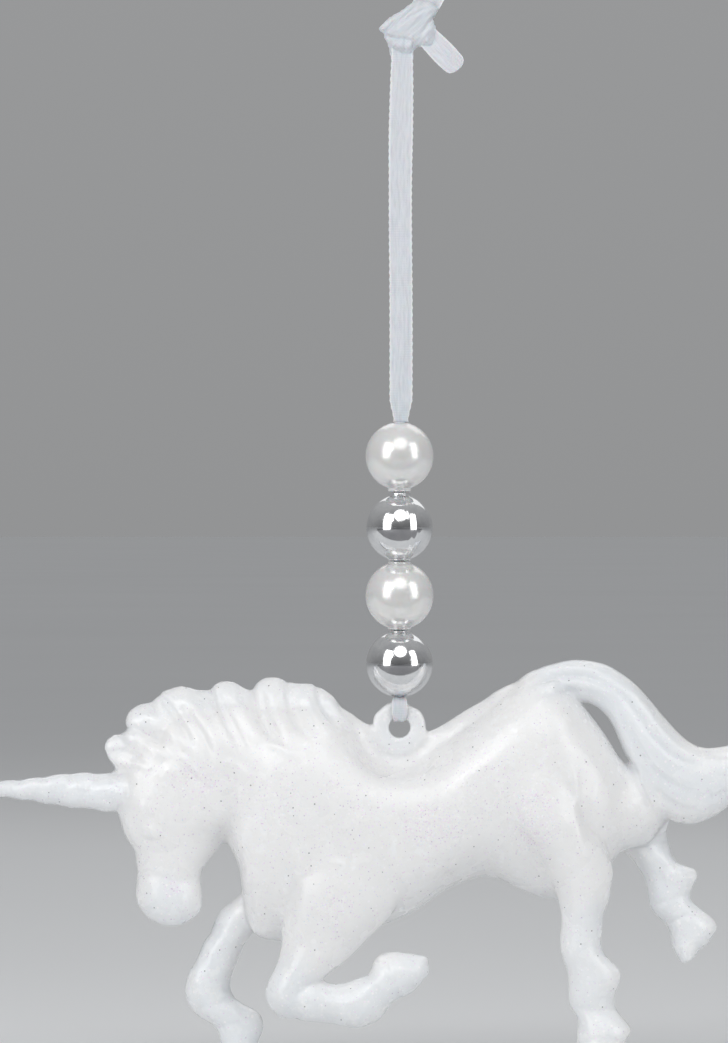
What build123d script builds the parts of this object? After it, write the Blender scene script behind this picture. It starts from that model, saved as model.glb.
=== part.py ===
from build123d import *
import os
from math import cos, pi, radians, sin, sqrt

# Hanging unicorn ornament: a moulded figure in two bonded half shells, four beads and a ribbon loop.
# Frame: +Z up, +X to the figure's tail, +Y away from the viewer. The origin is the point where a hook
# carries the ribbon loop, just under its knot, and the whole ornament hangs below it. Lengths are in mm.

# Beads, from the knot down: pearl, silver, pearl, silver
pearl_diameter = 10.0
silver_diameter = 9.8
bead_bore_diameter = 2.0
bead_bore_lip = 0.3
crease_gap = 0.6
bead_gap = 0.12

# Ribbon
ribbon_width = 3.4
ribbon_thickness = 0.3
loop_length = 54.7
loop_head = 0.4
hook_diameter = 1.6
strand_gap = 0.3
mouth_width = 1.6
taper_length = 7.0
core_clearance = 0.12
turn_width = 2.0
turn_clearance = 0.15

# Knot, and the two cut tails that leave it
knot_width = 8.6
knot_height = 6.8
knot_thickness = 3.4
knot_offset = 1.3
tail_offset = 1.0
tail_corner = 0.9
low_tail_length = 9.0
low_tail_angle = -45
low_tail_depth = -0.9
high_tail_length = 12.0
high_tail_angle = 60
high_tail_depth = 0.5

# Hanging eye on the figure's back, and the dish round it that clears the ribbon
eye_radius = 3.8
eye_hole_radius = 1.65
eye_thickness = 2.6
eye_edge_break = 0.3
eye_top_gap = 0.6
dish_step = 0.3
dish_margin = 0.6
dish_reach = 3.2
dish_rise = 4.5
dish_depth = 12.0

# Figure: its side view is laid out in squares, with the zero at the middle of the hanging eye
figure_length = 119.5
figure_length_share = 813
square = figure_length / figure_length_share
leg_parting_gap = 0.3
cannon_spread_share = 1.12
oval_points = 8

# Locating pegs between the half shells
peg_radius = 0.8
peg_length = 1.8
peg_clearance = 0.1

# One overrun serves all cuts
overrun = 1.0

# Upright sections of the trunk and neck, in squares: place, top, bottom and half width
trunk_shares = [
    (-249, 2, -101, 18),
    (-230, 19, -114, 29),
    (-211, 29, -124, 35),
    (-193, 31, -128, 39),
    (-176, 31, -116, 42),
    (-160, 30, -148, 45),
    (-143, 30, -208, 48),
    (-124, 29, -213, 53),
    (-104, 28, -219, 57),
    (-84, 25, -221, 60),
    (-64, 16, -216, 61),
    (-44, -2, -208, 62),
    (-22, -20, -199, 62),
    (0, -26, -191, 61),
    (22, -24, -179, 60),
    (46, -14, -163, 60),
    (70, 6, -152, 60),
    (92, 25, -149, 61),
    (114, 45, -158, 62),
    (136, 57, -168, 62),
    (156, 54, -174, 61),
    (175, 33, -169, 57),
    (192, 11, -156, 51),
    (209, -13, -137, 42),
    (226, -36, -122, 31),
    (244, -72, -104, 10),
]

# Upright sections of the narrow ridge that carries the hanging eye
ridge_shares = [
    (-70, 28, -40, 14),
    (-48, 14, -46, 13),
    (-24, 0, -50, 12),
    (0, -6, -54, 12),
    (24, -6, -50, 12),
    (48, 5, -46, 14),
    (72, 20, -34, 18),
    (96, 36, -16, 22),
    (116, 44, 0, 20),
]

# Upright sections of the hollow inside
hollow_shares = [
    (-164, 10, -112, 26),
    (-134, 12, -180, 36),
    (-104, 8, -200, 42),
    (-74, -14, -204, 46),
    (-44, -50, -192, 48),
    (-14, -68, -178, 48),
    (16, -67, -163, 46),
    (46, -52, -146, 46),
    (76, -18, -135, 46),
    (106, 16, -137, 48),
    (136, 34, -149, 48),
    (166, 24, -152, 44),
    (196, -18, -130, 30),
]

# Upright sections of the tail
tail_shares = [
    (134, 52, 40, 10),
    (148, 61, 37, 16),
    (162, 65, 31, 19),
    (176, 67, 27, 21),
    (190, 66, 24, 22),
    (204, 63, 15, 23),
    (218, 56, -8, 25),
    (232, 46, -40, 26),
    (246, 32, -68, 26),
    (261, 14, -88, 26),
    (276, -3, -95, 25),
    (291, -16, -97, 24),
    (306, -21, -93, 23),
    (321, -20, -85, 21),
    (336, -17, -69, 19),
    (350, -13, -48, 15),
    (363, -11, -29, 10),
    (370, -14, -20, 4),
]

# Upright sections of the near foreleg's folded cannon and hoof
near_cannon_shares = [
    (-118, -252, -281, 16),
    (-105, -249, -288, 21),
    (-91, -250, -292, 23),
    (-77, -252, -293, 22),
    (-63, -255, -295, 21),
    (-49, -252, -298, 22),
    (-35, -245, -297, 22),
    (-22, -230, -288, 22),
    (-9, -222, -275, 23),
    (4, -222, -267, 23),
    (17, -224, -259, 21),
    (30, -230, -247, 14),
]

# Level sections of the head and of the legs, in squares: height, left, right and half width
head_shares = [
    (-13, -270, -150, 26),
    (-33, -280, -149, 32),
    (-53, -285, -149, 36),
    (-72, -285, -150, 38),
    (-90, -280, -161, 37),
    (-107, -275, -174, 34),
    (-122, -268, -182, 30),
    (-137, -263, -194, 28),
    (-152, -264, -199, 27),
    (-166, -264, -197, 28),
    (-178, -261, -197, 27),
    (-189, -253, -204, 23),
    (-198, -238, -221, 12),
]
far_foreleg_shares = [
    (-143, -137, -89, 20),
    (-156, -146, -98, 23),
    (-168, -159, -109, 25),
    (-180, -175, -123, 25),
    (-192, -184, -136, 24),
    (-204, -189, -145, 23),
    (-216, -195, -154, 22),
    (-228, -204, -162, 21),
    (-240, -209, -166, 21),
    (-252, -213, -169, 22),
    (-263, -215, -170, 23),
    (-273, -214, -165, 23),
    (-283, -209, -152, 22),
    (-293, -199, -140, 21),
    (-304, -187, -137, 20),
    (-316, -179, -142, 19),
    (-328, -178, -141, 20),
    (-340, -181, -137, 22),
]
near_shoulder_shares = [
    (-93, -92, -22, 22),
    (-111, -101, -4, 27),
    (-129, -108, 6, 30),
    (-147, -112, 8, 31),
    (-165, -115, 2, 31),
    (-183, -116, -8, 30),
    (-201, -117, -24, 28),
    (-219, -118, -41, 26),
    (-236, -123, -60, 25),
    (-252, -131, -79, 24),
    (-266, -135, -89, 23),
    (-279, -131, -95, 20),
    (-289, -119, -101, 13),
]
near_hindleg_shares = [
    (-13, 113, 163, 20),
    (-29, 105, 170, 27),
    (-45, 100, 176, 31),
    (-61, 98, 180, 33),
    (-77, 100, 184, 34),
    (-93, 106, 189, 34),
    (-109, 117, 198, 32),
    (-125, 130, 206, 30),
    (-141, 142, 210, 28),
    (-157, 152, 210, 26),
    (-173, 158, 208, 24),
    (-189, 160, 204, 22),
    (-205, 159, 201, 21),
    (-219, 160, 201, 21),
    (-231, 163, 209, 21),
    (-243, 166, 220, 21),
    (-255, 167, 218, 21),
    (-267, 168, 214, 20),
    (-279, 170, 215, 19),
    (-291, 175, 224, 21),
    (-303, 177, 231, 23),
    (-315, 177, 225, 23),
    (-327, 181, 215, 20),
    (-337, 188, 205, 12),
]
far_hindleg_shares = [
    (-33, 173, 213, 20),
    (-45, 169, 226, 25),
    (-57, 167, 239, 28),
    (-69, 170, 250, 30),
    (-81, 175, 258, 31),
    (-93, 183, 264, 31),
    (-105, 194, 268, 30),
    (-117, 208, 271, 28),
    (-128, 228, 275, 26),
    (-139, 237, 289, 24),
    (-150, 243, 298, 22),
    (-161, 246, 294, 21),
    (-172, 249, 292, 20),
    (-183, 253, 302, 20),
    (-194, 262, 314, 21),
    (-205, 268, 317, 23),
    (-216, 272, 310, 23),
    (-227, 277, 301, 20),
    (-237, 282, 292, 12),
]

# Horn sections from its root to its tip, in squares: place, radius and height of the middle
horn_shares = [
    (-274, 24, -64),
    (-298, 19, -64),
    (-322, 17.5, -63.5),
    (-347, 15, -63),
    (-372, 12, -62.5),
    (-397, 9, -62),
    (-421, 6, -62),
    (-444, 2.5, -62),
]
horn_flat_share = 0.86
horn_turn_degrees = 40

# Upright sections of the crest of hair, whose top edge is scalloped from the forelock to the withers
crest_shares = [
    (-289, -15, -43, 13),
    (-279, -8, -56, 16),
    (-268.5, 12, -65, 18),
    (-258, 23, -66, 19),
    (-247, 25, -64, 19),
    (-237, 33, -62, 19),
    (-227, 39, -60, 19),
    (-216, 40.5, -60, 20),
    (-205, 38, -60, 20),
    (-194, 37, -60, 20),
    (-184, 43, -60, 20),
    (-173, 46, -60, 20),
    (-162, 43, -60, 20),
    (-151, 38, -60, 20),
    (-140, 46, -60, 20),
    (-129, 50, -60, 20),
    (-117, 48, -60, 20),
    (-105, 44, -60, 20),
    (-93, 43.5, -60, 20),
    (-81, 41, -58, 19),
    (-69, 33, -56, 18),
    (-57, 20, -50, 15),
]

# Level sections of the knot: height, shift to the side, width and depth, as shares of its own sizes
knot_shares = [
    (0.0, 0.0, 0.46, 0.5),
    (0.15, 0.2, 0.72, 0.8),
    (0.4, 0.9, 0.96, 1.0),
    (0.65, 1.0, 1.0, 1.0),
    (0.88, 1.1, 0.8, 0.8),
    (1.0, 1.2, 0.44, 0.4),
]

# Peg places, in squares: across and up
peg_shares = [(-213, -90), (-79, -208), (160, 34), (222, -78)]

# Worked out from the sizes above
pearl_radius = pearl_diameter / 2
silver_radius = silver_diameter / 2
bore_radius = bead_bore_diameter / 2
core_radius = bore_radius - core_clearance
bead_names = ["bead_pearl_upper", "bead_silver_upper", "bead_pearl_lower", "bead_silver_lower"]
bead_radii = [pearl_radius, silver_radius, pearl_radius, silver_radius]
bead_gaps = [crease_gap, bead_gap, bead_gap, 0]
bead_levels = []
stack_level = -loop_length
for bead_radius, gap_below in zip(bead_radii, bead_gaps):
    bead_levels.append(stack_level - bead_radius)
    stack_level -= 2 * bead_radius + gap_below
eye_level = stack_level - eye_top_gap - eye_radius


def oval(half_x, half_y):
    """Face of an oval; every oval starts at the same side, so a loft through them doesn't twist."""
    turns = [2 * pi * step / oval_points for step in range(oval_points)]
    with BuildLine() as rim:
        Spline(*[(half_x * cos(turn), half_y * sin(turn)) for turn in turns], periodic=True)
    make_face(rim.edges())


def upright_section(u, top, bottom, half_width, side):
    """Oval facing along X; with a side of 1 or -1 it just clears the mid-plane on that side."""
    aside = side * (half_width * square + leg_parting_gap)
    middle = (u * square, aside, eye_level + (top + bottom) / 2 * square)
    with BuildSketch(Plane(origin=middle, x_dir=(0, 1, 0), z_dir=(1, 0, 0))) as section:
        oval(half_width * square, (top - bottom) / 2 * square)
    return section.sketch


def level_section(w, left, right, half_width, side):
    """Oval facing up; with a side of 1 or -1 it just clears the mid-plane on that side."""
    aside = side * (half_width * square + leg_parting_gap)
    middle = ((left + right) / 2 * square, aside, eye_level + w * square)
    with BuildSketch(Plane(origin=middle)) as section:
        oval((right - left) / 2 * square, half_width * square)
    return section.sketch


def lofted(section, shares, side=0):
    """Smooth solid through the sections of one table."""
    with BuildPart() as form:
        loft([section(*row, side) for row in shares])
    return form.part


def in_squares(shares):
    """Points of the side view, from squares to their places."""
    return [(u * square, eye_level + w * square) for u, w in shares]


# The figure's masses, before they are joined
trunk = lofted(upright_section, trunk_shares)
crest = lofted(upright_section, crest_shares)
ridge = lofted(upright_section, ridge_shares)
head = lofted(level_section, head_shares)
tail = lofted(upright_section, tail_shares)
far_foreleg = lofted(level_section, far_foreleg_shares, 1)
far_hindleg = lofted(level_section, far_hindleg_shares, 1)
near_shoulder = lofted(level_section, near_shoulder_shares, -1)
near_cannon = lofted(upright_section, near_cannon_shares, -cannon_spread_share)
near_hindleg = lofted(level_section, near_hindleg_shares, -1)
hollow = lofted(upright_section, hollow_shares)

# Horn: a flattened oval that turns and shrinks to the tip, which winds the grooves round it
with BuildPart() as horn:
    horn_rings = []
    for step, (u, radius, w) in enumerate(horn_shares):
        turn = radians(horn_turn_degrees * step)
        middle = (u * square, 0, eye_level + w * square)
        with BuildSketch(Plane(origin=middle, x_dir=(0, cos(turn), sin(turn)), z_dir=(-1, 0, 0))) as ring:
            oval(radius * square, radius * square * horn_flat_share)
        horn_rings.append(ring.sketch)
    loft(horn_rings)

# Dish on both sides of the hanging eye: flat beside the eye, then curving out through the back
dish_face = eye_thickness / 2 - dish_step
dish_flat = eye_radius + dish_margin
dish_rim = dish_flat + dish_reach
with BuildPart() as dish:
    with BuildSketch(Plane.XY.offset(eye_level)):
        with BuildLine():
            Polyline((0, dish_depth), (0, dish_face), (dish_flat, dish_face))
            TangentArc((dish_flat, dish_face), (dish_rim, dish_face + dish_rise), tangent=(1, 0))
            Polyline((dish_rim, dish_face + dish_rise), (dish_rim, dish_depth), (0, dish_depth))
        make_face()
    revolve(axis=Axis((0, 0, eye_level), (0, 1, 0)))
    mirror(about=Plane.XZ)

# Hanging eye: a flat disc with broken rims
with BuildPart() as eye:
    with BuildSketch(Plane.XZ):
        with Locations((0, eye_level)):
            Circle(eye_radius)
    extrude(amount=eye_thickness / 2, both=True)
    chamfer(eye.edges().filter_by(GeomType.CIRCLE), eye_edge_break)


def half_of(mass, keep):
    """The half of one mass on the kept side of the mid-plane."""
    with BuildPart() as half:
        add(mass)
        split(bisect_by=Plane.XZ, keep=keep)
    return half.part


def half_shell(keep, legs):
    """One moulded half of the figure: masses joined, eye pierced and inside hollowed."""
    with BuildPart() as shell:
        for mass in (trunk, ridge, crest):
            add(half_of(mass, keep))
        add(half_of(dish.part, keep), mode=Mode.SUBTRACT)
        for mass in (tail, head, horn.part, eye.part):
            add(half_of(mass, keep))
        for leg in legs:
            add(leg)
        with BuildSketch(Plane.XZ):
            with Locations((0, eye_level)):
                Circle(eye_hole_radius)
        extrude(amount=eye_thickness / 2 + overrun, both=True, mode=Mode.SUBTRACT)
        add(half_of(hollow, keep), mode=Mode.SUBTRACT)
    return shell.part


# Near half shell, with the sockets for the pegs
with BuildPart() as near_half:
    add(half_shell(Keep.TOP, (near_shoulder, near_cannon, near_hindleg)))
    with BuildSketch(Plane.XZ):
        with Locations(*in_squares(peg_shares)):
            Circle(peg_radius + peg_clearance)
    extrude(amount=peg_length + peg_clearance, mode=Mode.SUBTRACT)

# Far half shell, with the pegs
with BuildPart() as far_half:
    add(half_shell(Keep.BOTTOM, (far_foreleg, far_hindleg)))
    with BuildSketch(Plane.XZ.offset(-peg_length)):
        with Locations(*in_squares(peg_shares)):
            Circle(peg_radius)
    extrude(amount=2 * peg_length)

# Beads: each a ball with a rounded lip at both ends of its bore
beads = []
for bead_name, bead_radius, bead_level in zip(bead_names, bead_radii, bead_levels):
    middle = Plane(origin=(0, 0, bead_level), x_dir=(1, 0, 0), z_dir=(0, -1, 0))
    rim_height = sqrt(bead_radius**2 - bore_radius**2)
    with BuildPart() as bead:
        with BuildSketch(middle):
            with BuildLine():
                ThreePointArc((bore_radius, rim_height), (bead_radius, 0), (bore_radius, -rim_height))
                Line((bore_radius, -rim_height), (bore_radius, rim_height))
            bead_face = make_face()
            fillet(bead_face.vertices(), bead_bore_lip)
        revolve(axis=Axis.Z)
    bead.part.label = bead_name
    beads.append(bead.part)

# Knot: level ovals from the drawn-in strands at its foot to its crown
with BuildPart() as knot:
    for rise, shift, width, depth in knot_shares:
        with BuildSketch(Plane(origin=(shift * knot_offset, 0, loop_head + rise * knot_height))):
            oval(width * knot_width / 2, depth * knot_thickness / 2)
    loft()
knot.part.label = "ribbon_knot"


def tail_end(length, angle, depth):
    """Cut end of the ribbon: a flat strip out of the knot with rounded corners."""
    root = (knot_offset + tail_offset, depth, loop_head + knot_height / 2)
    along = (cos(radians(angle)), 0, sin(radians(angle)))
    face = Plane(origin=root, x_dir=along, z_dir=(0, -1, 0))
    with BuildPart() as strip:
        with BuildSketch(face):
            outline = Rectangle(length, ribbon_width, align=(Align.MIN, Align.CENTER))
            fillet(outline.vertices(), tail_corner)
        extrude(amount=ribbon_thickness)
        add(knot.part, mode=Mode.SUBTRACT)
    return strip.part


def strand(side):
    """One of the loop's two strands: over the hook, straight down, and drawn in at the beads' mouth."""
    near = strand_gap / 2
    bulge = near + hook_diameter / 2
    path = [(near, loop_head), (bulge, -hook_diameter), (near, -loop_length)]
    back = [(y + ribbon_thickness, z) for y, z in reversed(path)]
    shoulder = taper_length - loop_length
    with BuildPart() as strip:
        with BuildSketch(Plane.YZ):
            with BuildLine():
                Polyline(*[(side * y, z) for y, z in path + back], close=True)
            make_face()
        extrude(amount=ribbon_width / 2, both=True)
        with BuildSketch(Plane.XZ):
            with BuildLine():
                Polyline(
                    (-ribbon_width / 2, loop_head),
                    (ribbon_width / 2, loop_head),
                    (ribbon_width / 2, shoulder),
                    (mouth_width / 2, -loop_length),
                    (-mouth_width / 2, -loop_length),
                    (-ribbon_width / 2, shoulder),
                    close=True,
                )
            make_face()
        extrude(amount=bulge + ribbon_thickness, both=True, mode=Mode.INTERSECT)
    return strip.part


low_tail = tail_end(low_tail_length, low_tail_angle, low_tail_depth)
low_tail.label = "ribbon_tail_low"
high_tail = tail_end(high_tail_length, high_tail_angle, high_tail_depth)
high_tail.label = "ribbon_tail_high"
front_strand = strand(-1)
front_strand.label = "ribbon_front_strand"
back_strand = strand(1)
back_strand.label = "ribbon_back_strand"

# Threaded stretch: the ribbon bunched round, all the way down through the four beads
turn_crown = eye_level + eye_radius + turn_clearance + ribbon_thickness
with BuildPart() as threaded:
    with BuildSketch(Plane.XY.offset(turn_crown)):
        Circle(core_radius)
    extrude(amount=-loop_length - turn_crown)
threaded.part.label = "ribbon_threaded"

# Turn of the ribbon: down one side of the hanging eye, through its hole and up the other side
turn_seat = eye_level + sqrt(eye_hole_radius**2 - turn_width**2 / 4) - turn_clearance
turn_inside = eye_thickness / 2 + turn_clearance
with BuildPart() as eyelet_turn:
    with BuildSketch(Plane.YZ):
        for offset, mode in ((ribbon_thickness, Mode.ADD), (0, Mode.SUBTRACT)):
            side = turn_inside + offset
            foot = turn_seat - offset
            crown = turn_crown - ribbon_thickness + offset
            with BuildLine():
                FilletPolyline(
                    (side, foot),
                    (side, crown),
                    (-side, crown),
                    (-side, foot),
                    radius=turn_clearance + offset,
                    close=True,
                )
            make_face(mode=mode)
    extrude(amount=turn_width / 2, both=True)
eyelet_turn.part.label = "ribbon_eyelet_turn"

near_half.part.label = "body_near_half"
far_half.part.label = "body_far_half"

os.makedirs("parts", exist_ok=True)
pieces = [near_half.part, far_half.part, *beads, knot.part, low_tail, high_tail]
pieces += [front_strand, back_strand, threaded.part, eyelet_turn.part]
for piece in pieces:
    export_step(piece, f"parts/{piece.label}.step")
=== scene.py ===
from math import cos, pi, radians, sin

import bmesh
import bpy
import numpy as np
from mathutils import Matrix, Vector


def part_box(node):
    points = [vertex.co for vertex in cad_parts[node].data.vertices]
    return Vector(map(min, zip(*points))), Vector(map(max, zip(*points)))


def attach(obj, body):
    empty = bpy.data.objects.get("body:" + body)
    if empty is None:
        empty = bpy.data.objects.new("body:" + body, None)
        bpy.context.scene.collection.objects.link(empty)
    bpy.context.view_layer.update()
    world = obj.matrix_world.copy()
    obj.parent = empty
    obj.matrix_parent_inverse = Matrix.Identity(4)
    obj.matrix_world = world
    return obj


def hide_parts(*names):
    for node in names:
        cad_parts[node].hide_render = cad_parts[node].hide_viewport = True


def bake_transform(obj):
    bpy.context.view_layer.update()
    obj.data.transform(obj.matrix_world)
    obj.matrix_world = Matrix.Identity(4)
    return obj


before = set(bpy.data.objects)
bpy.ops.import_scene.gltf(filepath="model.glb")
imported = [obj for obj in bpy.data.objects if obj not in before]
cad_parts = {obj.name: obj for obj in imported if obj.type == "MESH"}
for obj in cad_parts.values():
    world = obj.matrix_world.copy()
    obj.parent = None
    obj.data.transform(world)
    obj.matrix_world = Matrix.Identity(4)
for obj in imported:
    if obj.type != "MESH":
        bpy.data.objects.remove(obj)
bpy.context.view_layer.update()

MM = 0.001
# Length of the figure in mm over its length in pixels: mm a pixel
SQUARE = 119.5 / 813
# Middle of the hanging eye's hole: height in mm, and place in pixels
EYE_LEVEL = -99.54
EYE_PIXEL = (399.5, 727)
LENS = 200
SENSOR = 36
# Width of the picture at the object, in metres, and its middle in pixels
VIEW_WIDTH = 0.1533
VIEW_PIXEL = (364, 521.5)

scene = bpy.context.scene


def place(px, py):
    """A point of the side view, read off the photograph in pixels, as x and z in mm."""
    return (px - EYE_PIXEL[0]) * SQUARE, EYE_LEVEL - (py - EYE_PIXEL[1]) * SQUARE


def to_scene(name, data):
    obj = bpy.data.objects.new(name, data)
    scene.collection.objects.link(obj)
    return obj


# Camera

camera_data = bpy.data.cameras.new("camera")
camera_data.lens = LENS
camera_data.sensor_width = SENSOR
camera_data.clip_start = 0.05
camera_data.clip_end = 50
camera = to_scene("camera", camera_data)
view_x, view_z = place(*VIEW_PIXEL)
camera.location = (view_x * MM, -VIEW_WIDTH * LENS / SENSOR, view_z * MM)
camera.rotation_euler = (pi / 2, 0, 0)
bpy.context.scene.camera = camera
scene.view_settings.view_transform = "Standard"


# Meshes


def new_object(name, vertices, faces, scale=MM, smooth=True):
    mesh = bpy.data.meshes.new(name)
    mesh.from_pydata((np.asarray(vertices, float) * scale).tolist(), [], [tuple(f) for f in faces])
    mesh.update()
    if smooth:
        mesh.polygons.foreach_set("use_smooth", [True] * len(mesh.polygons))
    return to_scene(name, mesh)


def finish_piece(obj, body, slot, material, *nodes):
    obj.data.materials.clear()
    obj.data.materials.append(material)
    if body:
        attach(obj, body)
    if nodes:
        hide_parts(*nodes)


def coordinates(obj):
    store = np.zeros(len(obj.data.vertices) * 3, np.float32)
    obj.data.vertices.foreach_get("co", store)
    return store.reshape(-1, 3).astype(float) / MM


def normals(obj):
    store = np.zeros(len(obj.data.vertices) * 3, np.float32)
    obj.data.vertices.foreach_get("normal", store)
    return store.reshape(-1, 3).astype(float)


def move_to(obj, co):
    obj.data.vertices.foreach_set("co", (co * MM).astype(np.float32).ravel())
    obj.data.update()


def modify(obj, kind, **values):
    """Put a modifier's result into the object's mesh."""
    modifier = obj.modifiers.new("modifier", kind)
    for key, value in values.items():
        setattr(modifier, key, value)
    bpy.context.view_layer.update()
    graph = bpy.context.evaluated_depsgraph_get()
    made = bpy.data.meshes.new_from_object(obj.evaluated_get(graph))
    old = obj.data
    obj.modifiers.clear()
    obj.data = made
    made.name = obj.name
    bpy.data.meshes.remove(old)
    made.polygons.foreach_set("use_smooth", [True] * len(made.polygons))


def ring_faces(rows, n, closed=False):
    """Faces between rings of n points each. closed joins the last ring to the first."""
    return [(i * n + j, i * n + (j + 1) % n, (i + 1) % rows * n + (j + 1) % n, (i + 1) % rows * n + j)
            for i in range(rows if closed else rows - 1) for j in range(n)]


def attribute(obj, name, values):
    store = obj.data.attributes.new(name, "FLOAT", "POINT")
    store.data.foreach_set("value", np.asarray(values, np.float32))


# Lines and ovals of the side view

# Halves of the figure, by the sign of their depth
BOTH, NEAR, FAR = 0, -1, 1
# How many widths away from its line a stroke of the relief still counts
STROKE_REACH = 2.6


def smoothstep(x, low, high):
    t = np.clip((np.asarray(x, float) - low) / (high - low), 0, 1)
    return t * t * (3 - 2 * t)


def run_length(line):
    return np.concatenate([[0], np.cumsum(np.linalg.norm(np.diff(line, axis=0), axis=1))])


def through(points, steps=10):
    """A smooth line through given points."""
    points = np.array(points, float)
    padded = np.vstack([2 * points[0] - points[1], points, 2 * points[-1] - points[-2]])
    t = np.linspace(0, 1, steps, endpoint=False)[:, None]
    runs = []
    for a, b, c, d in zip(padded, padded[1:], padded[2:], padded[3:]):
        square = (2 * a - 5 * b + 4 * c - d) * t**2
        cube = (3 * b - 3 * c + d - a) * t**3
        runs.append(0.5 * (2 * b + (c - a) * t + square + cube))
    return np.vstack(runs + [points[-1:]])


def from_line(view, line):
    """Distance of each point of the side view to a line, and how far along the nearest place is, 0 to 1."""
    best = np.full(len(view), 1e9)
    share = np.zeros(len(view))
    run = run_length(line)
    for start, end, reached, step in zip(line, line[1:], run, np.diff(run)):
        edge = end - start
        t = np.clip((view - start) @ edge / max(edge @ edge, 1e-9), 0, 1)
        gap = np.linalg.norm(view - start - t[:, None] * edge, axis=1)
        closer = gap < best
        best[closer] = gap[closer]
        share[closer] = (reached + t[closer] * step) / run[-1]
    return best, share


def side_view(co):
    """Points in mm as photograph pixels of the side view."""
    px = co[:, 0] / SQUARE + EYE_PIXEL[0]
    py = (EYE_LEVEL - co[:, 2]) / SQUARE + EYE_PIXEL[1]
    return np.stack([px, py], axis=1)


def in_oval(view, centre, radii):
    """1 at the middle of an oval of the side view, falling smoothly to 0 at its edge."""
    r = ((view - centre) / radii) ** 2
    return np.clip(1 - r.sum(1), 0, 1) ** 2


def stroke_height(co, view, rows):
    """Height in mm that the rows of a relief table give to each point."""
    height = np.zeros(len(co))
    for half, rise, width, points in rows:
        line = through(points)
        reach = STROKE_REACH * width / SQUARE
        low, high = line.min(0) - reach, line.max(0) + reach
        chosen = ((view > low) & (view < high)).all(1)
        if half != BOTH:
            chosen &= co[:, 1] * half > 0
        which = np.nonzero(chosen)[0]
        gap, share = from_line(view[which], line)
        taper = smoothstep(share, 0, 0.22) * (1 - smoothstep(share, 0.7, 1))
        if half == BOTH and rise < 0:
            taper = (0.45 + 0.55 * smoothstep(share, 0, 0.16)) * (1 - smoothstep(share, 0.6, 1))
        height[which] += rise * taper * np.exp(-((gap * SQUARE / width) ** 2))
    return height


# Materials

# Pitch of the ribbon's ribs in mm
RIB_PITCH = 0.36


class Nodes:
    """Short calls for making a material's nodes."""

    def __init__(self, name):
        self.material = bpy.data.materials.new(name)
        self.material.use_nodes = True
        self.tree = self.material.node_tree
        self.shader = self.tree.nodes["Principled BSDF"]

    def add(self, kind, **values):
        node = self.tree.nodes.new("ShaderNode" + kind)
        for key, value in values.items():
            setattr(node, key, value)
        return node

    def link(self, source, target):
        self.tree.links.new(source, target)

    def feed(self, value, socket):
        """Link an output to a socket, or set the socket to a plain value or colour."""
        if hasattr(value, "is_linked"):
            self.link(value, socket)
        else:
            socket.default_value = (*value, 1) if isinstance(value, tuple) else value

    def set(self, **values):
        for key, value in values.items():
            self.shader.inputs[key.replace("_", " ")].default_value = value

    def drive(self, **sources):
        """Link outputs to the shader's sockets."""
        for key, source in sources.items():
            self.link(source, self.shader.inputs[key.replace("_", " ")])

    def coordinates(self):
        return self.add("TexCoord").outputs["Object"]

    def read(self, name):
        return self.add("Attribute", attribute_name=name).outputs["Fac"]

    def math(self, operation, a, b=None):
        node = self.add("Math", operation=operation)
        for value, socket in zip((a, b), node.inputs):
            if value is not None:
                self.feed(value, socket)
        return node.outputs[0]

    def times(self, a, b):
        return self.math("MULTIPLY", a, b)

    def noise(self, scale, detail=2.0, roughness=0.5, vector=None):
        """Cloudy values from 0 to 1."""
        node = self.add("TexNoise")
        node.inputs["Scale"].default_value = scale
        node.inputs["Detail"].default_value = detail
        node.inputs["Roughness"].default_value = roughness
        self.link(vector or self.coordinates(), node.inputs["Vector"])
        return node.outputs["Fac"]

    def cells(self, scale):
        """Scattered cells: the pattern's outputs, and three random values for each cell."""
        node = self.add("TexVoronoi")
        node.inputs["Scale"].default_value = scale
        self.link(self.coordinates(), node.inputs["Vector"])
        draw = self.add("SeparateColor")
        self.link(node.outputs["Color"], draw.inputs["Color"])
        return node.outputs, draw.outputs

    def ramp(self, value, *stops):
        node = self.add("ValToRGB")
        while len(node.color_ramp.elements) < len(stops):
            node.color_ramp.elements.new(0.5)
        for element, (position, colour) in zip(node.color_ramp.elements, stops):
            element.position = position
            element.color = (*colour, 1)
        self.link(value, node.inputs["Fac"])
        return node.outputs["Color"]

    def grey(self, value, *stops):
        return self.ramp(value, *[(p, (g, g, g)) for p, g in stops])

    def mix(self, factor, a, b):
        node = self.add("Mix", data_type="RGBA")
        for socket, value in ((node.inputs["Factor"], factor), (node.inputs[6], a), (node.inputs[7], b)):
            self.feed(value, socket)
        return node.outputs[2]

    def bump(self, height, strength, distance, normal=None):
        node = self.add("Bump")
        node.inputs["Strength"].default_value = strength
        node.inputs["Distance"].default_value = distance
        self.link(height, node.inputs["Height"])
        if normal:
            self.link(normal, node.inputs["Normal"])
        return node.outputs["Normal"]


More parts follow.
